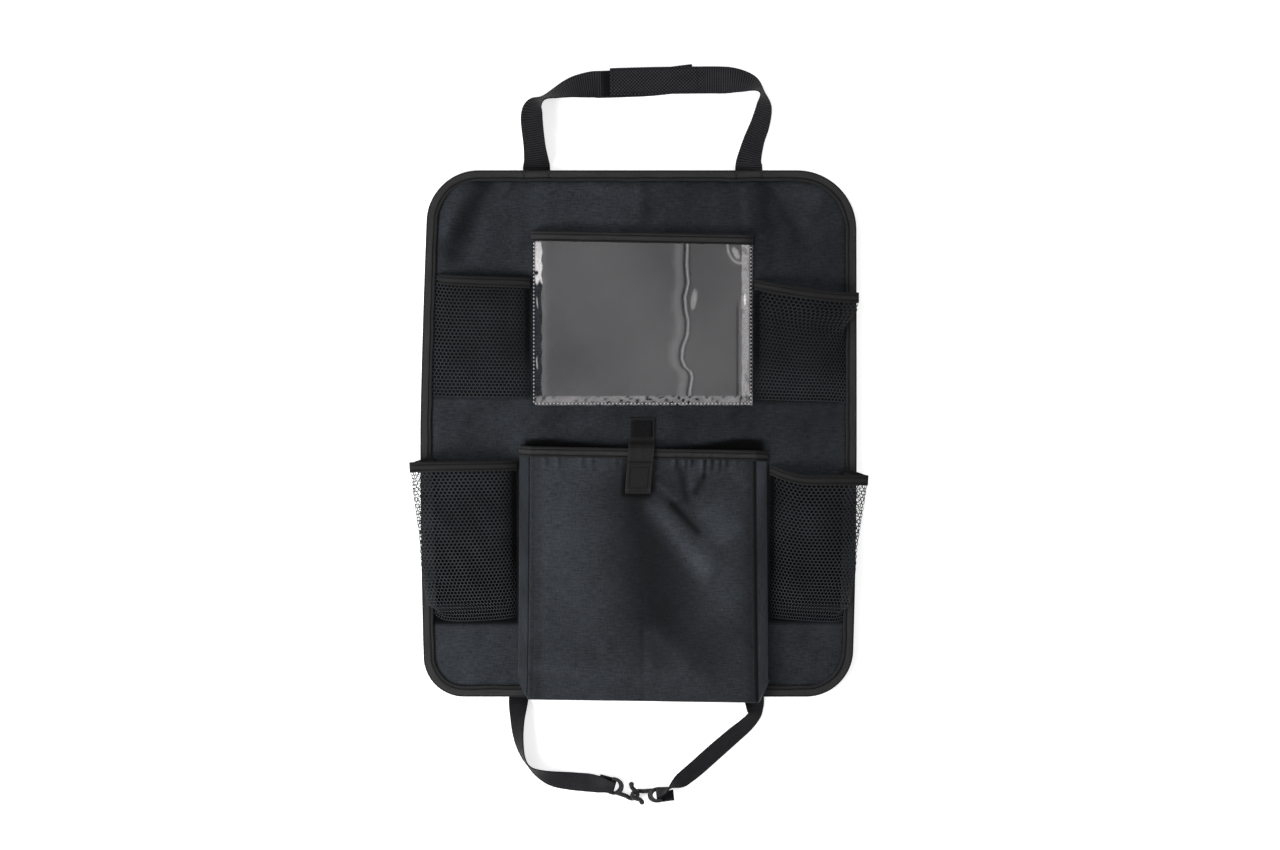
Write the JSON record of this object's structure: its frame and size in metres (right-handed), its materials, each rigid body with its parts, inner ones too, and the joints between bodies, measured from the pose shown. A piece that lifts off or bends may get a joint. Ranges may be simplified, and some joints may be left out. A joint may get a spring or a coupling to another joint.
{
  "type": "car seat back organizer",
  "caption": "Cloth organizer for the back of a car seat: clear window pocket, net side pockets, gusseted front pocket, headrest strap, hooked seat strap.",
  "frame": {"origin": "under the middle of the organizer, on the plane it lies on", "axes": "+X to the front's right, +Y to the headrest strap, +Z out of the front face"},
  "size_m": [0.504, 0.8136, 0.0295],
  "materials": {
    "panel_cloth": "woven, matt",
    "pocket_cloth": "woven, matt",
    "binding_tape": "cross-ribbed, matt",
    "webbing": "cross-ribbed, satin",
    "closure_webbing": "smooth elastic, satin",
    "net": "hexagonal mesh, matt",
    "hook_tape": "hooked pile, matt",
    "loop_tape": "looped pile, matt",
    "clear_film": "clear, glossy",
    "black_plastic": "satin"
  },
  "bodies": {
    "root": {"back_panel": "panel_cloth", "edge_binding": "binding_tape", "headrest_strap_left": "webbing", "headrest_strap_right": "webbing", "headrest_hook_tape": "hook_tape", "headrest_loop_tape": "loop_tape", "window_film": "clear_film", "window_binding": "binding_tape", "upper_left_net": "net", "upper_left_binding": "binding_tape", "upper_right_net": "net", "upper_right_binding": "binding_tape", "lower_left_net": "net", "lower_left_binding": "binding_tape", "lower_right_net": "net", "lower_right_binding": "binding_tape", "main_pocket": "pocket_cloth", "main_pocket_binding": "binding_tape", "closure_strap": "closure_webbing", "closure_loop_patch": "loop_tape", "closure_hook_patch": "hook_tape", "closure_base_patch": "hook_tape", "seat_strap_left": "webbing", "seat_strap_right": "webbing", "strap_hook_left": "black_plastic", "strap_hook_right": "black_plastic"}
  },
  "joints": []
}
